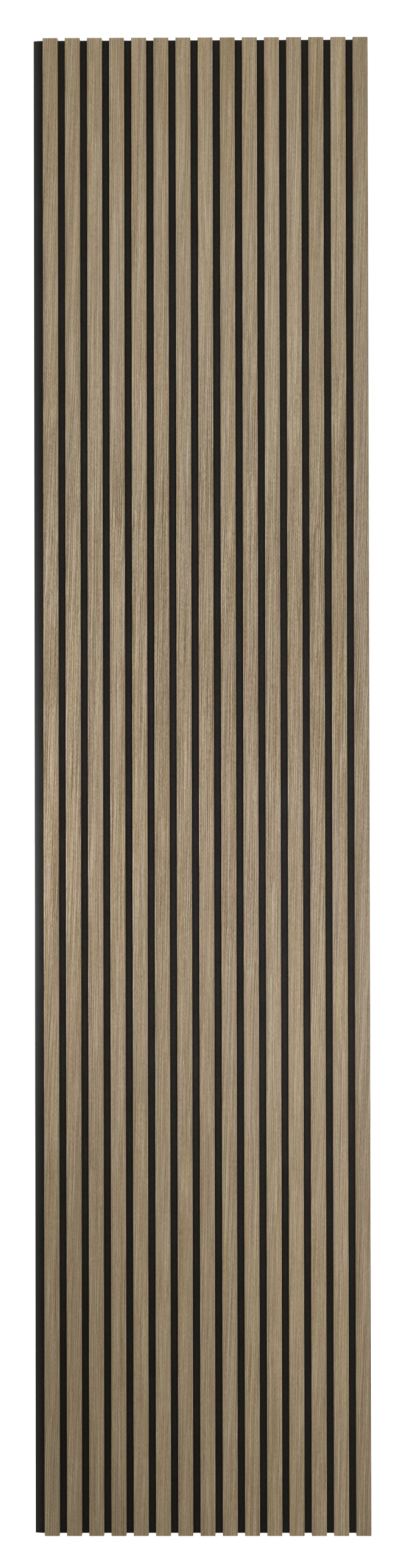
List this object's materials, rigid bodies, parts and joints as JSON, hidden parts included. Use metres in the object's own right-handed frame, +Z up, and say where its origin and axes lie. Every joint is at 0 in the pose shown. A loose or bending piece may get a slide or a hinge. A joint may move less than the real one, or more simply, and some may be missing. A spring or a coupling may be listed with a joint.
{
  "type": "acoustic slat wall panel",
  "caption": "Tall acoustic wall panel: oak-veneered slats side by side on a black felt board, with a bare felt lip along one side. It lines a wall and softens sound.",
  "frame": {"origin": "centre of the felt board's flat back face, the face that lies against the wall", "axes": "+Z up along the slats, +Y out of the back face into the wall, so the slats face -Y; the bare felt lip is on the -X side"},
  "size_m": [0.604, 0.021, 2.7],
  "materials": {
    "felt": "matte",
    "oak_veneer": "matte",
    "fibreboard": "matte",
    "staple_wire": "satin"
  },
  "bodies": {
    "root": {"felt_backing": "felt", "slat_core_01": "fibreboard", "slat_core_02": "fibreboard", "slat_core_03": "fibreboard", "slat_core_04": "fibreboard", "slat_core_05": "fibreboard", "slat_core_06": "fibreboard", "slat_core_07": "fibreboard", "slat_core_08": "fibreboard", "slat_core_09": "fibreboard", "slat_core_10": "fibreboard", "slat_core_11": "fibreboard", "slat_core_12": "fibreboard", "slat_core_13": "fibreboard", "slat_core_14": "fibreboard", "slat_core_15": "fibreboard", "veneer_wrap_01": "oak_veneer", "veneer_wrap_02": "oak_veneer", "veneer_wrap_03": "oak_veneer", "veneer_wrap_04": "oak_veneer", "veneer_wrap_05": "oak_veneer", "veneer_wrap_06": "oak_veneer", "veneer_wrap_07": "oak_veneer", "veneer_wrap_08": "oak_veneer", "veneer_wrap_09": "oak_veneer", "veneer_wrap_10": "oak_veneer", "veneer_wrap_11": "oak_veneer", "veneer_wrap_12": "oak_veneer", "veneer_wrap_13": "oak_veneer", "veneer_wrap_14": "oak_veneer", "veneer_wrap_15": "oak_veneer", "staples": "staple_wire"}
  },
  "joints": []
}
